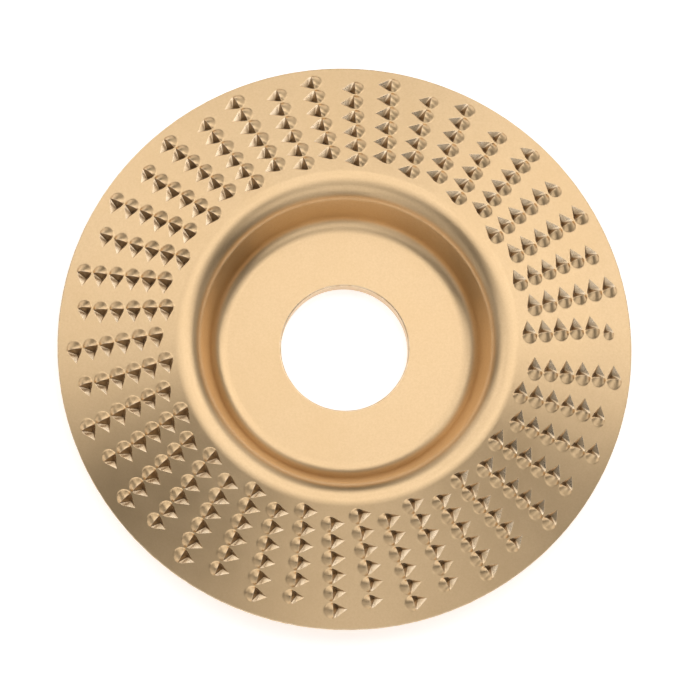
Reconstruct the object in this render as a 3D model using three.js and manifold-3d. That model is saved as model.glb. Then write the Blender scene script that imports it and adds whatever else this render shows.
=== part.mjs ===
// Carving disc for an angle grinder: a pressed steel plate with a sunken hub, a rounded ridge and
// a toothed cone, and 42 rows of stitched rasp teeth raised from the cone.
// Units are millimetres. +Z is the working side, the axis is the bore's axis, and z = 0 is the
// back of the hub, which is the face that lies against the grinder's flange.
import * as THREE from 'three';
import { mergeVertices } from 'three/addons/utils/BufferGeometryUtils.js';
import Module from 'manifold-3d';

const wasm = await Module();
wasm.setup();

// ---- Driving dimensions ----
const OUTER_RADIUS = 50;
const BORE_RADIUS = 11.1;
const PLATE_THICKNESS = 3;
const HUB_RADIUS = 20.4; // flat part of the hub
const RIM_RISE = 2.6; // the rim's front edge stands this far above the hub's front face
const CONE_ANGLE = radians(17); // slope of the toothed cone, rising towards the middle
const RIDGE_RADIUS = 28.7; // radius of the circle along the top of the ridge
const RIDGE_ROUND = 4; // front rounding of the ridge
const HUB_FILLET = 3.2; // front rounding where the hub meets the inner wall
const EDGE_BREAK = 0.3; // chamfer on the rim and on the bore's front edge
const LATHE_SEGMENTS = 72;

const ROW_COUNT = 42;
const TEETH_PER_ROW = 6;
const ROW_PITCH = radians(8.504); // 42 pitches fall short of a full turn: one wider gap is left
const FIRST_ROW_ANGLE = radians(2.64);
const ODD_ROW_LEAD = radians(0.5);
const PATTERN_CENTRE = new THREE.Vector3(0.08, 0.28, 0); // the rows' common centre, near the axis
const ROW_OFFSET = 4.4; // each row is a straight line that passes this far from that centre
const OUTER_CREST_RADIUS = 46.9; // outermost tooth of an odd row
const INNER_ROW_SHIFT = 1.35; // an even row starts this much nearer the axis
const TOOTH_PITCH = 2.85; // measured across the axis, so along the slope it is a little more
const STEP_FORWARD = 0.4; // in an even row the teeth after the first stand this far forward
const SMALL_TOOTH_BACK = 0.5; // the smallest tooth stands this far back from its row's line

const TOOTH_HALF_WIDTH = 1.26;
const TOOTH_HEIGHT = 0.8;
const BURR_LENGTH = 1.5; // from the crest back to where the burr meets the cone
const BURR_FOOT = 1.1; // the burr's outline inside the plate, as a share of its outline at the surface
const SHOULDER_SIZE = 0.8; // outline of the burr's shoulder, as the same share
const SHOULDER_HEIGHT = 0.43; // below it the flank is steep, above it the crown is flatter
const BURR_STEPS = 4;
const PIT_TAIL = new THREE.Vector2(-0.1, 2.45); // tip of the pit's tail, from the middle of the crest
const PIT_BOTTOM = new THREE.Vector2(-0.28, 0.95); // its deepest point, a little nearer the axis
const PIT_DEPTH = 0.65;
const TOOL_CLEARANCE = 0.5; // the pit's cutting tool stands this far out of the cone
const OUTER_TOOTH_SCALE = 0.93; // the first tooth of an even row is smaller
const SMALL_TOOTH_SCALE = 0.74; // and that of the very first row is the smallest
const FOOT_DEPTH = 0.3; // burrs start this far inside the plate and are then trimmed to it
const LINK_WIDTH = 0.5; // low ridge of raised metal that joins the burrs of a row
const LINK_HEIGHT = 0.14;
const GOLD = 0xe3c091;

// ---- Derived geometry of the pressed profile, in (radius, z) ----
const rimCorner = new THREE.Vector2(
  OUTER_RADIUS + EDGE_BREAK * Math.sin(CONE_ANGLE),
  PLATE_THICKNESS + RIM_RISE,
);
const coneNormal = new THREE.Vector2(Math.sin(CONE_ANGLE), Math.cos(CONE_ANGLE));
const ridgeCentre = new THREE.Vector2(
  RIDGE_RADIUS,
  rimCorner.y + ((rimCorner.x - RIDGE_RADIUS) * coneNormal.x - RIDGE_ROUND) / coneNormal.y,
);
const filletCentre = new THREE.Vector2(HUB_RADIUS, PLATE_THICKNESS + HUB_FILLET);
const centreLine = ridgeCentre.clone().sub(filletCentre);
const wallAngle = centreLine.angle() + Math.asin((RIDGE_ROUND + HUB_FILLET) / centreLine.length());

function radians(degrees) {
  return THREE.MathUtils.degToRad(degrees);
}

function arc(centre, radius, fromAngle, toAngle, steps) {
  const points = [];
  for (let i = 0; i <= steps; i += 1) {
    const angle = THREE.MathUtils.lerp(fromAngle, toAngle, i / steps);
    points.push(new THREE.Vector2(radius, 0).rotateAround(new THREE.Vector2(), angle).add(centre));
  }
  return points;
}

function solid(geometry) {
  const bare = geometry.clone();
  bare.deleteAttribute('normal');
  bare.deleteAttribute('uv');
  const merged = mergeVertices(bare, 1e-4);
  return new wasm.Manifold(new wasm.Mesh({
    numProp: 3,
    vertProperties: new Float32Array(merged.attributes.position.array),
    triVerts: new Uint32Array(merged.index.array),
  }));
}

function solidFromFaces(points, triangles) {
  const geometry = new THREE.BufferGeometry();
  geometry.setAttribute('position', new THREE.Float32BufferAttribute(points.flat(), 3));
  geometry.setIndex(triangles.flat());
  return solid(geometry);
}

function geometryOf(manifold) {
  const mesh = manifold.getMesh();
  const geometry = new THREE.BufferGeometry();
  geometry.setAttribute('position', new THREE.Float32BufferAttribute(mesh.vertProperties, 3));
  geometry.setIndex(new THREE.Uint32BufferAttribute(mesh.triVerts, 1));
  const flat = geometry.toNonIndexed();
  flat.computeVertexNormals();
  return flat;
}

// ---- The pressed plate, before its pits are cut ----
function plateProfile() {
  const coneTop = Math.PI / 2 - CONE_ANGLE; // direction of the cone's normal
  const wallTop = Math.PI / 2 + wallAngle; // direction of the inner wall's normal
  const alongCone = new THREE.Vector2(-coneNormal.y, coneNormal.x);
  const front = (distance) => rimCorner.clone().addScaledVector(alongCone, distance);
  const edge = (depth) => rimCorner.clone().addScaledVector(coneNormal, -depth);
  return [
    edge(PLATE_THICKNESS),
    edge(EDGE_BREAK),
    front(EDGE_BREAK),
    ...arc(ridgeCentre, RIDGE_ROUND, coneTop, wallTop, 5),
    ...arc(filletCentre, HUB_FILLET, wallTop + Math.PI, 1.5 * Math.PI, 3),
    new THREE.Vector2(BORE_RADIUS + EDGE_BREAK, PLATE_THICKNESS),
    new THREE.Vector2(BORE_RADIUS, PLATE_THICKNESS - EDGE_BREAK),
    new THREE.Vector2(BORE_RADIUS, 0),
    ...arc(filletCentre, HUB_FILLET + PLATE_THICKNESS, 1.5 * Math.PI, wallTop + Math.PI, 4),
    ...arc(ridgeCentre, RIDGE_ROUND - PLATE_THICKNESS, wallTop, coneTop, 2),
    edge(PLATE_THICKNESS),
  ];
}

function pressedPlate() {
  const lathe = new THREE.LatheGeometry(plateProfile(), LATHE_SEGMENTS);
  lathe.rotateX(Math.PI / 2);
  return solid(lathe);
}

// ---- Where the teeth stand ----
// A tooth frame has X along the row (outwards), Y forwards in the cutting direction, which is
// counter-clockwise seen from the working side, and Z out of the cone.
function toothFrame(rowAngle, distance, step) {
  const outermost = Math.atan2(-ROW_OFFSET, OUTER_CREST_RADIUS);
  const turn = new THREE.Matrix4().makeRotationZ(rowAngle - outermost);
  const foot = new THREE.Vector3(distance, step - ROW_OFFSET, 0).applyMatrix4(turn)
    .add(PATTERN_CENTRE);
  const radius = Math.hypot(foot.x, foot.y);
  foot.z = rimCorner.y + (rimCorner.x - radius) * Math.tan(CONE_ANGLE);
  const normal = new THREE.Vector3(
    (coneNormal.x * foot.x) / radius,
    (coneNormal.x * foot.y) / radius,
    coneNormal.y,
  );
  const alongRow = new THREE.Vector3(1, 0, 0).applyMatrix4(turn);
  alongRow.addScaledVector(normal, -alongRow.dot(normal)).normalize();
  const forwards = new THREE.Vector3().crossVectors(normal, alongRow);
  return new THREE.Matrix4().makeBasis(alongRow, forwards, normal).setPosition(foot);
}

function rowFrames(row) {
  const odd = row % 2;
  const rowAngle = FIRST_ROW_ANGLE + row * ROW_PITCH + odd * ODD_ROW_LEAD;
  const start = OUTER_CREST_RADIUS - (odd ? 0 : INNER_ROW_SHIFT);
  const frames = [];
  for (let tooth = 0; tooth < TEETH_PER_ROW; tooth += 1) {
    let scale = 1;
    let step = odd ? 0 : STEP_FORWARD;
    if (!odd && tooth === 0) {
      scale = row === 0 ? SMALL_TOOTH_SCALE : OUTER_TOOTH_SCALE;
      step = row === 0 ? -SMALL_TOOTH_BACK : 0;
    }
    frames.push({ matrix: toothFrame(rowAngle, start - tooth * TOOTH_PITCH, step), scale });
  }
  return frames;
}

// ---- One tooth: a pit cut into the plate and a burr raised behind it ----
// The pit is a triangle on the surface, from the crest to the tail, falling to one deepest point.
function pitTool(scale) {
  const halfWidth = TOOTH_HALF_WIDTH * scale;
  const tail = PIT_TAIL.clone().multiplyScalar(scale);
  const bottom = PIT_BOTTOM.clone().multiplyScalar(scale);
  const mouth = [[-halfWidth, 0], [halfWidth, 0], [tail.x, tail.y]];
  return solidFromFaces(
    [
      ...mouth.map(([x, y]) => [x, y, 0]),
      ...mouth.map(([x, y]) => [x, y, TOOL_CLEARANCE]),
      [bottom.x, bottom.y, -PIT_DEPTH * scale],
    ],
    [[3, 4, 5], [0, 1, 4], [0, 4, 3], [1, 2, 5], [1, 5, 4], [2, 0, 3], [2, 3, 5],
      [0, 6, 1], [1, 6, 2], [2, 6, 0]],
  );
}

// The burr is half a low dome. Its front, which is the cutting face, is flat and upright.
function burr(scale) {
  const levels = [
    { size: BURR_FOOT, height: -FOOT_DEPTH },
    { size: SHOULDER_SIZE, height: SHOULDER_HEIGHT },
  ];
  const points = [];
  const triangles = [];
  for (const level of levels) {
    for (let i = 0; i <= BURR_STEPS; i += 1) {
      const angle = (Math.PI * i) / BURR_STEPS;
      points.push([
        TOOTH_HALF_WIDTH * scale * level.size * Math.cos(angle),
        -BURR_LENGTH * scale * level.size * Math.sin(angle),
        level.height * scale,
      ]);
    }
  }
  const upper = BURR_STEPS + 1;
  const crest = points.push([0, 0, TOOTH_HEIGHT * scale]) - 1;
  for (let i = 0; i < BURR_STEPS; i += 1) {
    triangles.push([i, upper + i, i + 1], [i + 1, upper + i, upper + i + 1]);
    triangles.push([upper + i, crest, upper + i + 1]);
  }
  for (let i = 1; i < BURR_STEPS; i += 1) triangles.push([0, i, i + 1]);
  const upperLast = upper + BURR_STEPS;
  triangles.push([0, BURR_STEPS, upper], [upper, BURR_STEPS, upperLast], [upper, upperLast, crest]);
  return solidFromFaces(points, triangles);
}

// A low three-sided ridge from one crest's foot to the next.
function link() {
  const length = TOOTH_PITCH / coneNormal.y;
  const top = LINK_HEIGHT;
  const base = -FOOT_DEPTH;
  return solidFromFaces(
    [[0, 0, base], [0, -LINK_WIDTH, base], [0, -LINK_WIDTH / 2, top],
      [-length, 0, base], [-length, -LINK_WIDTH, base], [-length, -LINK_WIDTH / 2, top]],
    [[0, 2, 1], [3, 4, 5], [0, 1, 4], [0, 4, 3], [1, 2, 5], [1, 5, 4], [2, 0, 3], [2, 3, 5]],
  );
}

function placed(tool, frame) {
  return tool.transform(frame.matrix.toArray());
}

function toothRow(frames, plate) {
  const pieces = frames.map((frame) => placed(burr(frame.scale), frame));
  frames.slice(0, -1).forEach((frame) => pieces.push(placed(link(), frame)));
  return wasm.Manifold.union(pieces).subtract(plate);
}

// ---- Assembly ----
function goldSteel() {
  return new THREE.MeshStandardMaterial({ color: GOLD, roughness: 0.4, metalness: 0.9 });
}

function named(name, manifold) {
  const mesh = new THREE.Mesh(geometryOf(manifold), goldSteel());
  mesh.name = name;
  return mesh;
}

const disc = new THREE.Group();
const blank = pressedPlate();
const rows = [];
for (let row = 0; row < ROW_COUNT; row += 1) rows.push(rowFrames(row));

const pits = rows.flat().map((frame) => placed(pitTool(frame.scale), frame));
disc.add(named('disc_plate', blank.subtract(wasm.Manifold.union(pits))));

rows.forEach((frames, index) => {
  const label = String(index + 1).padStart(2, '0');
  disc.add(named(`tooth_row_${label}`, toothRow(frames, blank)));
});

export default disc;
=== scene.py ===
"""Angle grinder carving disc: pressed plate with 42 rows of stitched rasp teeth."""
import math
import random

import bpy
import numpy as np
from mathutils import Matrix, Vector
from mathutils.geometry import delaunay_2d_cdt


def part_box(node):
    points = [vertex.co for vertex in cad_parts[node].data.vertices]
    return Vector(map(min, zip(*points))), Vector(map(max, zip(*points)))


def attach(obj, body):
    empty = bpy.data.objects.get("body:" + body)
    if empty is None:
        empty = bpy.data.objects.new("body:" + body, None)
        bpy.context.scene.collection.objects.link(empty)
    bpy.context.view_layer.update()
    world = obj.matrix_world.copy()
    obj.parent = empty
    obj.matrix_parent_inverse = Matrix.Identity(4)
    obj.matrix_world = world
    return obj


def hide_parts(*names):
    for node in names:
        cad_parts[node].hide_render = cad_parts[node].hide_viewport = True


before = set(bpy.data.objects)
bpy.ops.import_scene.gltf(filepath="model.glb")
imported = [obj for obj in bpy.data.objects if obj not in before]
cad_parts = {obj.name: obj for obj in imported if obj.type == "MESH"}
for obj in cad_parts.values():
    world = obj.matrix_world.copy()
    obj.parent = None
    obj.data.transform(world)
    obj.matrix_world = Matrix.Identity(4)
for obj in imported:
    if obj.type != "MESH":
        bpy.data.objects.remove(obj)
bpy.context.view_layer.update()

plate_low, plate_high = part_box("disc_plate")

MM = 0.001
TAU = 2 * math.pi

# ---- Pressed plate, in millimetres: a flat hub in a deep dish, a round ridge and a wide cone ----
OUTER_RADIUS = plate_high.x / MM
BORE_RADIUS = 11.1
PLATE_THICKNESS = 3.0
HUB_RADIUS = 20.4
RIM_RISE = 2.6
CONE_ANGLE = math.radians(17)
RIDGE_RADIUS = 28.7
RIDGE_ROUND = 4.0
HUB_FILLET = 3.2
EDGE_ROUND = 0.3
LATHE_SEGMENTS = 420

# ---- Teeth, in millimetres ----
ROW_COUNT = 42
TEETH_PER_ROW = 6
ROW_PITCH = math.radians(8.504)
FIRST_ROW_ANGLE = math.radians(2.64)
ODD_ROW_LEAD = math.radians(0.5)
ROW_OFFSET = 4.4
PATTERN_CENTRE = (0.08, 0.28)
OUTER_CREST_RADIUS = 46.9
INNER_ROW_SHIFT = 1.35
TOOTH_PITCH = 2.85
STEP_FORWARD = 0.4
SMALL_TOOTH_BACK = 0.5
OUTER_TOOTH_SCALE = 0.93
SMALL_TOOTH_SCALE = 0.74

TOOTH_HALF_WIDTH = 1.26
TOOTH_HEIGHT = 0.8
BURR_LENGTH = 1.5
CREST_ROUND = 1.5
BACK_ROUND = 1.4
BURR_FLARE = 0.22
FOOT_BLEND = 0.12
TAIL = (-0.1, 2.45)
PIT_BOTTOM = (-0.28, 0.95)
PIT_DEPTH = 0.65
PIT_EDGE = 0.06
SINK = 0.015

# How far a tooth strays either way from the even pattern: scale and height as fractions, the rest in mm
TOOTH_SEED = 11
PLACE_JITTER = 0.03
STEP_JITTER = 0.04
SCALE_JITTER = 0.03
HEIGHT_JITTER = 0.08
TAIL_JITTER = 0.08

# ---- How finely the surfaces are divided ----
CORNER_STEPS = 6
RIDGE_STEPS = 28
FILLET_STEPS = 14
BACK_FILLET_STEPS = 16
BACK_RIDGE_STEPS = 10
# Steps along the straight that follows each run of the section; None is the toothed cone
STRAIGHT_STEPS = (4, None, 4, 14, 4, 10, 4, 20)
PIT_OUTER_STEPS = 5
PIT_INNER_STEPS = 3
CONE_RINGS = 16
CONE_SPOKES = 210
PIT_MARGIN = 0.3
PIT_REACH = 4.0
MERGE_DISTANCE = 1e-7

# ---- Wear with painted highlight (lighter), and painted shade in the pits and on the burrs' front faces (darker), at each place, from 0 to 1 ----
PIT_EDGE_HIGHLIGHT = 0.8
CREST_WEAR_AND_HIGHLIGHT = {0: 0.5, 1: 0.3, 2: 0.1}
FRONT_CREST_WEAR_AND_HIGHLIGHT = 0.3
FRONT_PAINTED_SHADE = 0.8

cone_normal = (math.sin(CONE_ANGLE), math.cos(CONE_ANGLE))
rim_corner = (OUTER_RADIUS + EDGE_ROUND * cone_normal[0], PLATE_THICKNESS + RIM_RISE)
ridge_centre = (
    RIDGE_RADIUS,
    rim_corner[1] + ((rim_corner[0] - RIDGE_RADIUS) * cone_normal[0] - RIDGE_ROUND) / cone_normal[1],
)
fillet_centre = (HUB_RADIUS, PLATE_THICKNESS + HUB_FILLET)
centre_gap = (ridge_centre[0] - fillet_centre[0], ridge_centre[1] - fillet_centre[1])
WALL_ANGLE = math.atan2(centre_gap[1], centre_gap[0]) + math.asin(
    (RIDGE_ROUND + HUB_FILLET) / math.hypot(*centre_gap)
)


def cone_height(radius):
    return rim_corner[1] + (rim_corner[0] - radius) * math.tan(CONE_ANGLE)


# ---- The plate's section, as (radius, height, normal radius, normal height, wear and painted highlight) ----
def arc(centre, radius, start, stop, steps, hollow=False, wear=0.0):
    sign = -1 if hollow else 1
    points = []
    for i in range(steps + 1):
        a = start + (stop - start) * i / steps
        c, s = math.cos(a), math.sin(a)
        points.append((centre[0] + radius * c, centre[1] + radius * s, sign * c, sign * s, wear))
    return points


def between(first, last, steps):
    """The points strictly between two section points, for a straight run."""
    return [
        tuple(first[k] + (last[k] - first[k]) * i / steps for k in range(4)) + (0.0,)
        for i in range(1, steps)
    ]


def corner(edge_point, start, stop):
    """A rounded edge, worn everywhere but at its two ends."""
    a, b = (math.cos(start), math.sin(start)), (math.cos(stop), math.sin(stop))
    centre = [edge_point[k] - EDGE_ROUND * (a[k] + b[k]) for k in (0, 1)]
    points = arc(centre, EDGE_ROUND, start, stop, CORNER_STEPS)
    return points[:1] + [p[:4] + (1.0,) for p in points[1:-1]] + points[-1:]


def plate_section():
    up = math.radians(90)
    cone = up - CONE_ANGLE
    wall = up + WALL_ANGLE
    rim_back = (
        rim_corner[0] - PLATE_THICKNESS * cone_normal[0],
        rim_corner[1] - PLATE_THICKNESS * cone_normal[1],
    )
    runs = [
        corner(rim_back, cone - math.pi, -CONE_ANGLE),
        corner(rim_corner, -CONE_ANGLE, cone),
        arc(ridge_centre, RIDGE_ROUND, cone, wall, RIDGE_STEPS),
        arc(fillet_centre, HUB_FILLET, wall + math.pi, 3 * up, FILLET_STEPS, hollow=True),
        corner((BORE_RADIUS, PLATE_THICKNESS), up, math.pi),
        corner((BORE_RADIUS, 0.0), math.pi, 3 * up),
        arc(fillet_centre, HUB_FILLET + PLATE_THICKNESS, 3 * up, wall + math.pi, BACK_FILLET_STEPS),
        arc(ridge_centre, RIDGE_ROUND - PLATE_THICKNESS, wall, cone, BACK_RIDGE_STEPS, hollow=True),
    ]
    section, cone_start = [], 0
    for i, run in enumerate(runs):
        section += run
        if STRAIGHT_STEPS[i] is None:
            cone_start = len(section) - 1
        else:
            section += between(run[-1], runs[(i + 1) % len(runs)][0], STRAIGHT_STEPS[i])
    return section, cone_start


# ---- Teeth: where each one stands on the cone ----
def tooth_frame(row_angle, distance, step):
    """Foot, direction along the row outwards, and direction forwards, in the cone's tangent plane."""
    turn = row_angle - math.atan2(-ROW_OFFSET, OUTER_CREST_RADIUS)
    c, s = math.cos(turn), math.sin(turn)
    side = step - ROW_OFFSET
    foot = np.array([PATTERN_CENTRE[0] + c * distance - s * side,
                     PATTERN_CENTRE[1] + s * distance + c * side, 0.0])
    radius = math.hypot(foot[0], foot[1])
    foot[2] = cone_height(radius)
    normal = np.array([
        cone_normal[0] * foot[0] / radius, cone_normal[0] * foot[1] / radius, cone_normal[1]
    ])
    along = np.array([c, s, 0.0])
    along -= normal * along.dot(normal)
    along /= np.linalg.norm(along)
    return foot, along, np.cross(normal, along)


def on_cone(tooth, x, y, height):
    """Places points along the row, forwards and above the cone. Returns the points and the normals."""
    foot, along, forwards = tooth["frame"]
    flat = foot + np.multiply.outer(x, along) + np.multiply.outer(y, forwards)
    radius = np.hypot(flat[..., 0], flat[..., 1])
    normal = np.stack([
        cone_normal[0] * flat[..., 0] / radius,
        cone_normal[0] * flat[..., 1] / radius,
        np.full(radius.shape, cone_normal[1]),
    ], -1)
    flat[..., 2] = rim_corner[1] + (rim_corner[0] - radius) * math.tan(CONE_ANGLE)
    return flat + normal * np.asarray(height)[..., None], normal


def all_teeth():
    draw = random.Random(TOOTH_SEED)
    rows = []
    for row in range(ROW_COUNT):
        odd = row % 2
        row_angle = FIRST_ROW_ANGLE + row * ROW_PITCH + odd * ODD_ROW_LEAD
        start = OUTER_CREST_RADIUS - (0 if odd else INNER_ROW_SHIFT)
        teeth = []
        for k in range(TEETH_PER_ROW):
            scale, step = 1.0, 0.0 if odd else STEP_FORWARD
            if not odd and k == 0:
                scale, step = (OUTER_TOOTH_SCALE, 0.0) if row else (SMALL_TOOTH_SCALE, -SMALL_TOOTH_BACK)
            teeth.append({
                "frame": tooth_frame(
                    row_angle,
                    start - k * TOOTH_PITCH + draw.uniform(-PLACE_JITTER, PLACE_JITTER),
                    step + draw.uniform(-STEP_JITTER, STEP_JITTER),
                ),
                "scale": scale * draw.uniform(1 - SCALE_JITTER, 1 + SCALE_JITTER),
                "height": draw.uniform(1 - HEIGHT_JITTER, 1 + HEIGHT_JITTER),
                "tail": draw.uniform(-TAIL_JITTER, TAIL_JITTER),
            })
        rows.append(teeth)
    return rows


# ---- One pit: a teardrop outline on the cone, all of its sides falling to one deepest point ----
def pit_outline(tooth):
    """Corners of the pit from the crest's outer end round the tail, and which of them is the tail."""
    a = TOOTH_HALF_WIDTH
    tail = (TAIL[0] + tooth["tail"], TAIL[1])
    reach = math.hypot(*tail)
    towards = math.atan2(tail[1], tail[0])
    spread = math.acos(a / reach)
    outer = [(towards - spread) * i / PIT_OUTER_STEPS for i in range(PIT_OUTER_STEPS + 1)]
    last = towards + spread
    inner = [last + (math.pi - last) * i / PIT_INNER_STEPS for i in range(PIT_INNER_STEPS + 1)]
    points = [(a * math.cos(t), a * math.sin(t)) for t in outer]
    points.append(tail)
    points += [(a * math.cos(t), a * math.sin(t)) for t in inner]
    return np.array(points) * tooth["scale"], len(outer)


def pit_bottom(tooth):
    return np.array(PIT_BOTTOM) * tooth["scale"], PIT_DEPTH * tooth["scale"]


class Surface:
    """Vertices, faces and the normal at each face corner."""

    def __init__(self):
        self.points, self.wear, self.grime, self.cut = [], [], [], []
        self.faces, self.normals = [], []

    def add(self, points, wear=0.0, grime=0.0, cut=0.0):
        points = np.asarray(points).reshape(-1, 3)
        first = len(self.points)
        self.points += points.tolist()
        self.wear += np.broadcast_to(wear, len(points)).tolist()
        self.grime += np.broadcast_to(grime, len(points)).tolist()
        self.cut += np.broadcast_to(cut, len(points)).tolist()
        return first

    def face(self, corners, normals):
        self.faces.append([int(c) for c in corners])
        self.normals += [tuple(n) for n in normals]

    def build(self, name, material):
        mesh = bpy.data.meshes.new(name)
        mesh.from_pydata((np.array(self.points) * MM).tolist(), [], self.faces)
        for label, values in (("wear", self.wear), ("grime", self.grime), ("cut", self.cut)):
            layer = mesh.attributes.new(label, "FLOAT", "POINT")
            layer.data.foreach_set("value", np.array(values, np.float32))
        mesh.polygons.foreach_set("use_smooth", [True] * len(mesh.polygons))
        mesh.normals_split_custom_set(self.normals)
        mesh.materials.append(material)
        mesh.update()
        piece = bpy.data.objects.new(name, mesh)
        bpy.context.scene.collection.objects.link(piece)
        return piece


def unit(vectors):
    return vectors / np.maximum(np.linalg.norm(vectors, axis=-1, keepdims=True), 1e-12)


def face_normal(a, b, c):
    return unit(np.cross(np.asarray(b) - a, np.asarray(c) - a))


# ---- Plate ----
def add_pit(surface, tooth, rim_ids, rim_normals):
    """Fills one pit inside the rim that the cone already has: a broken edge and sides to one bottom."""
    outline, tail = pit_outline(tooth)
    bottom, depth = pit_bottom(tooth)
    count = len(outline)
    inner = bottom + (outline - bottom) * (
        1 - PIT_EDGE / np.linalg.norm(outline - bottom, axis=1, keepdims=True)
    )
    level = -depth * PIT_EDGE / np.linalg.norm(outline - bottom, axis=1)
    inner_points, _ = on_cone(tooth, inner[:, 0], inner[:, 1], level)
    deep_point, _ = on_cone(tooth, bottom[:1], bottom[1:], np.array([-depth]))
    # The pit's inner rim is painted lighter as a painted highlight.
    first = surface.add(inner_points, wear=PIT_EDGE_HIGHLIGHT, cut=1.0)
    # The pit's deepest point is painted near black as painted shade.
    deep = surface.add(deep_point, grime=1.0, cut=1.0)
    sides = [face_normal(inner_points[k], inner_points[(k + 1) % count], deep_point[0])
             for k in range(count)]

    def side_normal(k, side):
        """The normal at rim corner k, shared with the next side where the pit's wall is round."""
        other = k - 1 if side == k else k
        if k in (0, tail, count - 1):
            return sides[side]
        return unit(sides[side] + sides[other % count])

    for k in range(count):
        n = (k + 1) % count
        here, there = side_normal(k, k), side_normal(n, k)
        surface.face([first + k, first + n, deep], [here, there, sides[k]])
        surface.face([rim_ids[k], rim_ids[n], first + n, first + k],
                     [rim_normals[k], rim_normals[n], there, here])


def make_plate(rows, material):
    section, cone_start = plate_section()
    surface = Surface()
    angles = [TAU * i / LATHE_SEGMENTS for i in range(LATHE_SEGMENTS)]
    rings = []
    for r, z, _, _, wear in section:
        rings.append(surface.add([(r * math.cos(a), r * math.sin(a), z) for a in angles], wear=wear))
    spin = [[(p[2] * math.cos(a), p[2] * math.sin(a), p[3]) for a in angles] for p in section]
    for j in range(len(section)):
        if j == cone_start:
            continue
        k = (j + 1) % len(section)
        for i in range(LATHE_SEGMENTS):
            n = (i + 1) % LATHE_SEGMENTS
            surface.face([rings[j] + i, rings[j] + n, rings[k] + n, rings[k] + i],
                         [spin[j][i], spin[j][n], spin[k][n], spin[k][i]])

    # The cone between the rim's corner and the ridge, triangulated round the pits
    plan, ids, owner, edges = [], [], [], []
    for number, j in enumerate((cone_start, cone_start + 1)):
        first = len(plan)
        for i in range(LATHE_SEGMENTS):
            x, y, _ = surface.points[rings[j] + i]
            plan.append((x, y))
            ids.append(rings[j] + i)
            owner.append(-1 - number)
            edges.append((first + i, first + (i + 1) % LATHE_SEGMENTS))
    pits = []
    for teeth in rows:
        for tooth in teeth:
            outline, _ = pit_outline(tooth)
            bottom, _ = pit_bottom(tooth)
            rim = bottom + (outline - bottom) * (
                1 + PIT_EDGE / np.linalg.norm(outline - bottom, axis=1, keepdims=True)
            )
            points, normals = on_cone(tooth, rim[:, 0], rim[:, 1], np.zeros(len(rim)))
            first = surface.add(points)
            start = len(plan)
            for k, p in enumerate(points):
                plan.append((p[0], p[1]))
                ids.append(first + k)
                owner.append(len(pits))
                edges.append((start + k, start + (k + 1) % len(points)))
            pits.append((tooth, [first + k for k in range(len(points))], normals, points))
    outer_r, inner_r = section[cone_start][0], section[cone_start + 1][0]
    for ring in range(1, CONE_RINGS):
        r = inner_r + (outer_r - inner_r) * ring / CONE_RINGS
        for i in range(CONE_SPOKES):
            a = TAU * (i + 0.5 * (ring % 2)) / CONE_SPOKES
            p = np.array([r * math.cos(a), r * math.sin(a)])
            if not near_pit(p, pits):
                first = surface.add([(p[0], p[1], cone_height(r))])
                plan.append((p[0], p[1]))
                ids.append(first)
                owner.append(None)
    result = delaunay_2d_cdt([Vector(p) for p in plan], edges, [], 0, MERGE_DISTANCE)
    places, _, triangles, sources = result[:4]
    for t in triangles:
        source = [sources[v][0] for v in t]
        owners = {owner[v] for v in source}
        if len(owners) == 1 and owners not in ({None}, {-1}):
            continue
        if len(t) == 3:
            area = (places[t[1]] - places[t[0]]).cross(places[t[2]] - places[t[0]])
            if area < 0:
                source = source[::-1]
        normals = []
        for v in source:
            x, y = plan[v]
            r = math.hypot(x, y)
            normals.append((cone_normal[0] * x / r, cone_normal[0] * y / r, cone_normal[1]))
        surface.face([ids[v] for v in source], normals)
    for tooth, rim_ids, rim_normals, _ in pits:
        add_pit(surface, tooth, rim_ids, rim_normals)
    return surface.build("plate", material)


def near_pit(p, pits):
    """Whether a point of the cone lies in a pit or closer to one than the margin."""
    for tooth, _, _, points in pits:
        foot = tooth["frame"][0]
        dx, dy = p[0] - foot[0], p[1] - foot[1]
        if dx * dx + dy * dy > PIT_REACH ** 2:
            continue
        nearest = min((p[0] - q[0]) ** 2 + (p[1] - q[1]) ** 2 for q in points)
        sides = [
            (points[(k + 1) % len(points)][0] - points[k][0]) * (p[1] - points[k][1])
            - (points[(k + 1) % len(points)][1] - points[k][1]) * (p[0] - points[k][0])
            for k in range(len(points))
        ]
        lengths = [
            math.hypot(points[(k + 1) % len(points)][0] - points[k][0],
                       points[(k + 1) % len(points)][1] - points[k][1])
            for k in range(len(points))
        ]
        if nearest < PIT_MARGIN ** 2 or min(s / d for s, d in zip(sides, lengths)) > -PIT_MARGIN:
            return True
    return False


# ---- Burrs ----
ACROSS = 22
BACK_STEPS = (0.0, 0.03, 0.1, 0.25, 0.4, 0.55, 0.7, 0.8, 0.88, 0.95, 1.02, 1.1, 1.2, 1.35, 1.5)
FRONT_STEPS = (0.0, 0.035, 0.15, 0.35, 0.6, 0.8, 1.0)


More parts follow.
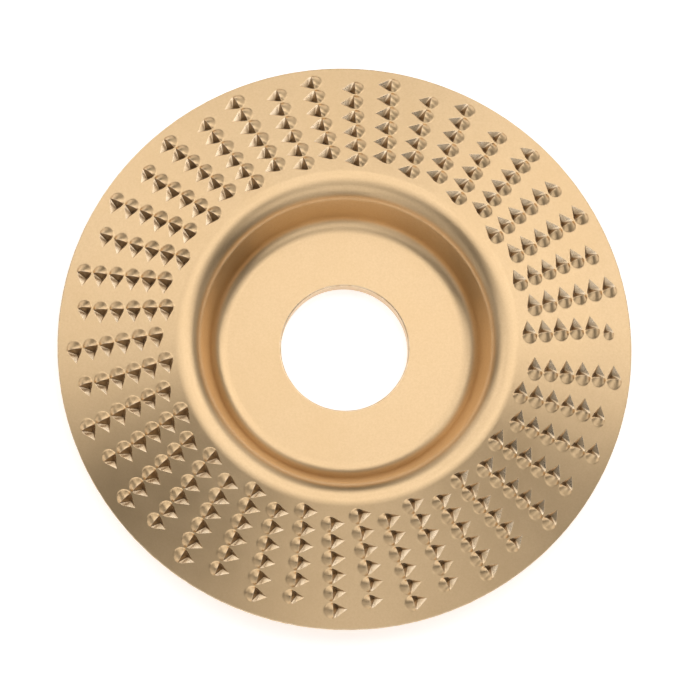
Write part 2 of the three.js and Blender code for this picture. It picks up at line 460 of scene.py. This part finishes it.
def add_burr(surface, tooth):
    """The raised metal behind a pit: a crest along the row, a bell-shaped back and a steep front face."""
    scale = tooth["scale"]
    a = TOOTH_HALF_WIDTH * scale
    bottom, depth = pit_bottom(tooth)
    phi = np.linspace(0, math.pi, ACROSS + 1)
    middle = math.acos(bottom[0] / a)
    phi[np.argmin(abs(phi - middle))] = middle
    phi = phi[:, None]
    crest_x = a * np.cos(phi)
    height = TOOTH_HEIGHT * scale * tooth["height"] * np.sin(phi) ** CREST_ROUND
    s = np.array(BACK_STEPS)[None, :]
    back_x = crest_x + s * BURR_FLARE * scale * np.cos(phi)
    back_y = -s * BURR_LENGTH * scale * np.sin(phi)
    back_h = height * FOOT_BLEND * np.log1p(np.exp((1 - s ** BACK_ROUND) / FOOT_BLEND)) - SINK
    t = np.array(FRONT_STEPS)[None, :]
    fall = np.minimum((a - crest_x) / (a - bottom[0]), (a + crest_x) / (a + bottom[0]))
    front_x = crest_x + 0 * t
    front_y = t * bottom[1] * fall
    front_h = (1 - t) * height - t * depth * fall - SINK
    back, back_base = on_cone(tooth, back_x, back_y, back_h)
    front, _ = on_cone(tooth, front_x, front_y, front_h)

    def grid_normals(grid, flip):
        du = np.gradient(grid, axis=0)
        ds = np.gradient(grid, axis=1)
        n = unit(np.cross(du, ds)) * flip
        n[0], n[-1] = n[1], n[-2]
        return n

    back_n = grid_normals(back, -1)
    front_n = grid_normals(front, 1)
    if (back_n[ACROSS // 2, 3] @ back_base[ACROSS // 2, 3]) < 0:
        back_n = -back_n
    if (front_n[ACROSS // 2, 2] @ back_base[ACROSS // 2, 2]) < 0:
        front_n = -front_n
    ridge = unit(back_n[:, 0] + front_n[:, 0])
    back_n[:, 0] = ridge
    front_n[:, 0] = ridge
    columns = []
    for i in range(ACROSS + 1):
        line = [back[i, k] for k in range(len(BACK_STEPS) - 1, -1, -1)]
        norm = [back_n[i, k] for k in range(len(BACK_STEPS) - 1, -1, -1)]
        # The crest is painted lighter: partly wear, partly painted highlight.
        wear = [CREST_WEAR_AND_HIGHLIGHT.get(k, 0.0) for k in range(len(BACK_STEPS) - 1, -1, -1)]
        grime = [0.0] * len(line)
        cut = [0.0] * len(line)
        line += [front[i, k] for k in range(1, len(FRONT_STEPS))]
        norm += [front_n[i, k] for k in range(1, len(FRONT_STEPS))]
        wear += [FRONT_CREST_WEAR_AND_HIGHLIGHT if k == 1 else 0.0 for k in range(1, len(FRONT_STEPS))]
        cut += [1.0] * (len(FRONT_STEPS) - 1)
        # The front face is painted near black as painted shade, darkest at its foot.
        grime += [FRONT_PAINTED_SHADE + (1 - FRONT_PAINTED_SHADE) * FRONT_STEPS[k] for k in range(1, len(FRONT_STEPS))]
        first = surface.add(line, wear=np.array(wear), grime=np.array(grime), cut=np.array(cut))
        columns.append((first, norm))
    size = len(columns[0][1])
    for i in range(ACROSS):
        (f0, n0), (f1, n1) = columns[i], columns[i + 1]
        for k in range(size - 1):
            surface.face([f0 + k, f0 + k + 1, f1 + k + 1, f1 + k], [n0[k], n0[k + 1], n1[k + 1], n1[k]])
    # The root, out of sight in the plate
    root, _ = on_cone(tooth, np.zeros(1), np.zeros(1), np.array([-depth]))
    root_id = surface.add(root)
    loop = [c[0] for c in columns] + [c[0] + size - 1 for c in reversed(columns)]
    for k in range(len(loop)):
        p, q = loop[k], loop[(k + 1) % len(loop)]
        n = face_normal(surface.points[p], surface.points[q], root[0])
        surface.face([p, q, root_id], [n, n, n])


def make_row(number, teeth, material):
    surface = Surface()
    for tooth in teeth:
        add_burr(surface, tooth)
    return surface.build(f"row_{number:02d}", material)


# ---- Materials ----
GOLD_PALE = (0.765, 0.545, 0.315)
GOLD_DEEP = (0.725, 0.508, 0.285)
GOLD_SHADE = (0.645, 0.44, 0.232)
# The near-black gold is painted shade for the pit bottoms and the burrs' front faces.
GOLD_PAINTED_SHADE = (0.07, 0.042, 0.025)
# The pale gold is worn metal and painted highlight on rounded edges, crests and pit rims.
GOLD_WORN_AND_HIGHLIGHT = (0.90, 0.74, 0.55)
ROUGHNESS = 0.34
ROUGHNESS_SPREAD = 0.04
PAINTED_SHADE_ROUGHER = 0.05
CUT_SMOOTHER = 0.04
WEAR_AND_HIGHLIGHT_SMOOTHER = 0.08

# Noise scales, per metre of surface
CLOUD_SCALE = 70
WEAR_AND_HIGHLIGHT_SCALE = 700
PAINTED_SHADE_SCALE = 900
GRAIN_SCALE = 2600
BUMP_SCALE = 4200
BUMP_STRENGTH = 0.5
BUMP_HEIGHT = 0.00003


def satin_gold(name, painted_shade_amount, wear_and_highlight_amount):
    material = bpy.data.materials.new(name)
    material.use_nodes = True
    nodes, links = material.node_tree.nodes, material.node_tree.links
    nodes.clear()
    out = nodes.new("ShaderNodeOutputMaterial")
    bsdf = nodes.new("ShaderNodeBsdfPrincipled")
    links.new(bsdf.outputs[0], out.inputs[0])
    bsdf.inputs["Metallic"].default_value = 1.0
    coords = nodes.new("ShaderNodeTexCoord")

    def noise(scale, detail, roughness=0.55):
        node = nodes.new("ShaderNodeTexNoise")
        node.inputs["Scale"].default_value = scale
        node.inputs["Detail"].default_value = detail
        node.inputs["Roughness"].default_value = roughness
        links.new(coords.outputs["Object"], node.inputs["Vector"])
        return node.outputs[0]

    def ramp(value, low, high, low_out, high_out):
        node = nodes.new("ShaderNodeMapRange")
        node.inputs["From Min"].default_value = low
        node.inputs["From Max"].default_value = high
        node.inputs["To Min"].default_value = low_out
        node.inputs["To Max"].default_value = high_out
        links.new(value, node.inputs["Value"])
        return node.outputs[0]

    def mix(factor, first, second):
        node = nodes.new("ShaderNodeMix")
        node.data_type = "RGBA"
        links.new(factor, node.inputs[0])
        for value, socket in ((first, node.inputs[6]), (second, node.inputs[7])):
            if isinstance(value, tuple):
                socket.default_value = value + (1.0,)
            else:
                links.new(value, socket)
        return node.outputs[2]

    def maths(operation, first, second):
        node = nodes.new("ShaderNodeMath")
        node.operation = operation
        for value, socket in ((first, node.inputs[0]), (second, node.inputs[1])):
            if isinstance(value, float):
                socket.default_value = value
            else:
                links.new(value, socket)
        return node.outputs[0]

    def attribute(label):
        node = nodes.new("ShaderNodeAttribute")
        node.attribute_name = label
        return node.outputs["Fac"]

    clouds = noise(CLOUD_SCALE, 3)
    grain = noise(GRAIN_SCALE, 3, 0.7)
    colour = mix(ramp(clouds, 0.35, 0.65, 0, 1), GOLD_DEEP, GOLD_PALE)
    colour = mix(ramp(grain, 0.35, 0.65, 0, 0.35), colour, GOLD_SHADE)
    # Painted shade: the pit bottoms and the burrs' front faces are darkened towards near black by their
    # mask, patchy by noise.
    grime = maths("MULTIPLY", attribute("grime"), painted_shade_amount)
    grime = maths("MULTIPLY", grime, ramp(noise(PAINTED_SHADE_SCALE, 2), 0.3, 0.7, 0.7, 1.0))
    colour = mix(grime, colour, GOLD_PAINTED_SHADE)
    # Wear and painted highlight: rounded edges, crests and pit rims are lightened towards pale gold by
    # their mask, patchy by noise.
    wear = maths("MULTIPLY", attribute("wear"), ramp(noise(WEAR_AND_HIGHLIGHT_SCALE, 3), 0.35, 0.6, 0.2, wear_and_highlight_amount))
    colour = mix(wear, colour, GOLD_WORN_AND_HIGHLIGHT)
    links.new(colour, bsdf.inputs["Base Color"])

    roughness = ramp(maths("ADD", grain, clouds), 0.7, 1.3, ROUGHNESS - ROUGHNESS_SPREAD,
                     ROUGHNESS + ROUGHNESS_SPREAD)
    roughness = maths("ADD", roughness, maths("MULTIPLY", grime, PAINTED_SHADE_ROUGHER))
    roughness = maths("SUBTRACT", roughness, maths("MULTIPLY", attribute("cut"), CUT_SMOOTHER))
    roughness = maths("SUBTRACT", roughness, maths("MULTIPLY", wear, WEAR_AND_HIGHLIGHT_SMOOTHER))
    links.new(roughness, bsdf.inputs["Roughness"])

    bump = nodes.new("ShaderNodeBump")
    bump.inputs["Strength"].default_value = BUMP_STRENGTH
    bump.inputs["Distance"].default_value = BUMP_HEIGHT
    links.new(noise(BUMP_SCALE, 2, 0.6), bump.inputs["Height"])
    links.new(bump.outputs[0], bsdf.inputs["Normal"])
    return material


plate_gold = satin_gold("satin_gold_plate", 0.7, 0.9)
teeth_gold = satin_gold("satin_gold_teeth", 0.9, 0.9)

rows = all_teeth()
plate = make_plate(rows, plate_gold)
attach(plate, "root")
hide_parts("disc_plate")
for number, teeth in enumerate(rows, 1):
    row = make_row(number, teeth, teeth_gold)
    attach(row, "root")
    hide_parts(f"tooth_row_{number:02d}")


# ---- Floor, light and camera ----
FLOOR_HALF = 1.5
FLOOR_GAP = 0.0002
FLOOR_WHITE = 0.93
FLOOR_ROUGHNESS = 0.9
FLOOR_GLOW = 0.5
WORLD_COLOUR = (0.97, 0.98, 1.0, 1)
WORLD_STRENGTH = 0.06
AIM = Vector((0, 0, rim_corner[1] * MM))
LIGHT_DISTANCE = 0.9


def make_floor():
    half = FLOOR_HALF
    mesh = bpy.data.meshes.new("floor")
    level = plate_low.z - FLOOR_GAP
    mesh.from_pydata([(-half, -half, level), (half, -half, level), (half, half, level),
                      (-half, half, level)], [], [(0, 1, 2, 3)])
    floor = bpy.data.objects.new("floor", mesh)
    bpy.context.scene.collection.objects.link(floor)
    material = bpy.data.materials.new("floor")
    material.use_nodes = True
    shader = material.node_tree.nodes["Principled BSDF"]
    shader.inputs["Base Color"].default_value = (FLOOR_WHITE, FLOOR_WHITE, FLOOR_WHITE, 1)
    shader.inputs["Roughness"].default_value = FLOOR_ROUGHNESS
    shader.inputs["Emission Color"].default_value = (1, 1, 1, 1)
    shader.inputs["Emission Strength"].default_value = FLOOR_GLOW
    mesh.materials.append(material)


def softbox(name, azimuth, polar, spread, radiance):
    """A square area light, seen from the disc at that azimuth (0 is +X) and angle from straight up.

    Its spread is the angle that it covers there. All three angles are in degrees.
    """
    side = 2 * LIGHT_DISTANCE * math.tan(math.radians(spread / 2))
    light = bpy.data.lights.new(name, "AREA")
    light.shape = "SQUARE"
    light.size = side
    light.energy = radiance * math.pi * side * side
    lamp = bpy.data.objects.new(name, light)
    a, p = math.radians(azimuth), math.radians(polar)
    back = Vector((math.cos(a) * math.sin(p), math.sin(a) * math.sin(p), math.cos(p)))
    lamp.location = AIM + back * LIGHT_DISTANCE
    lamp.rotation_mode = "QUATERNION"
    lamp.rotation_quaternion = (-back).to_track_quat("-Z", "Y")
    lamp.visible_camera = False
    bpy.context.scene.collection.objects.link(lamp)


make_floor()
softbox("overhead", 0, 0, 26, 1.05)
softbox("high_right", 30, 24, 24, 1.4)
softbox("high_back", 90, 24, 24, 1.1)
softbox("high_left", 150, 24, 24, 1.0)
softbox("high_front", 270, 24, 24, 0.6)
softbox("high_front_right", 330, 24, 24, 0.3)
for number, radiance in enumerate((1.4, 1.35, 1.3, 1.25, 1.1)):
    softbox(f"back_{number}", 18 + 36 * number, 47, 26, radiance)
softbox("front_left", 234, 47, 26, 0.6)
softbox("front", 270, 47, 26, 1.0)
softbox("front_right", 306, 47, 26, 1.0)
softbox("low_right", 45, 70, 40, 0.2)
softbox("low_back_left", 135, 70, 24, 0.6)
softbox("low_left", 210, 70, 30, 0.4)
softbox("low_front", 255, 70, 24, 0.55)
softbox("low_front_right", 285, 70, 24, 0.3)
for number in range(6):
    softbox(f"horizon_{number}", 60 * number, 84, 40, 0.35)

world = bpy.data.worlds.new("studio")
world.use_nodes = True
world.node_tree.nodes["Background"].inputs[0].default_value = WORLD_COLOUR
world.node_tree.nodes["Background"].inputs[1].default_value = WORLD_STRENGTH
bpy.context.scene.world = world
bpy.context.scene.view_settings.view_transform = "Standard"

CAMERA_DISTANCE = 0.675
CAMERA_TILT = math.radians(12.55)
CAMERA_AZIMUTH = math.radians(-11.64)
SENSOR_WIDTH = 36.0
FRAME_WIDTH_AT_DISC = 0.12178
CAMERA_SHIFT = (0.0066, -0.0075)

camera_data = bpy.data.cameras.new("camera")
camera_data.sensor_width = SENSOR_WIDTH
camera_data.lens = SENSOR_WIDTH * CAMERA_DISTANCE / FRAME_WIDTH_AT_DISC
camera_data.shift_x, camera_data.shift_y = CAMERA_SHIFT
camera_data.clip_start, camera_data.clip_end = 0.01, 10
camera = bpy.data.objects.new("camera", camera_data)
back = Vector((math.sin(CAMERA_AZIMUTH) * math.sin(CAMERA_TILT),
               -math.cos(CAMERA_AZIMUTH) * math.sin(CAMERA_TILT), math.cos(CAMERA_TILT)))
right = (Vector((1, 0, 0)) - back * back.x).normalized()
up = back.cross(right)
camera.matrix_world = Matrix.Translation(AIM + back * CAMERA_DISTANCE) @ Matrix(
    (right, up, back)).transposed().to_4x4()
bpy.context.scene.collection.objects.link(camera)
bpy.context.scene.camera = camera
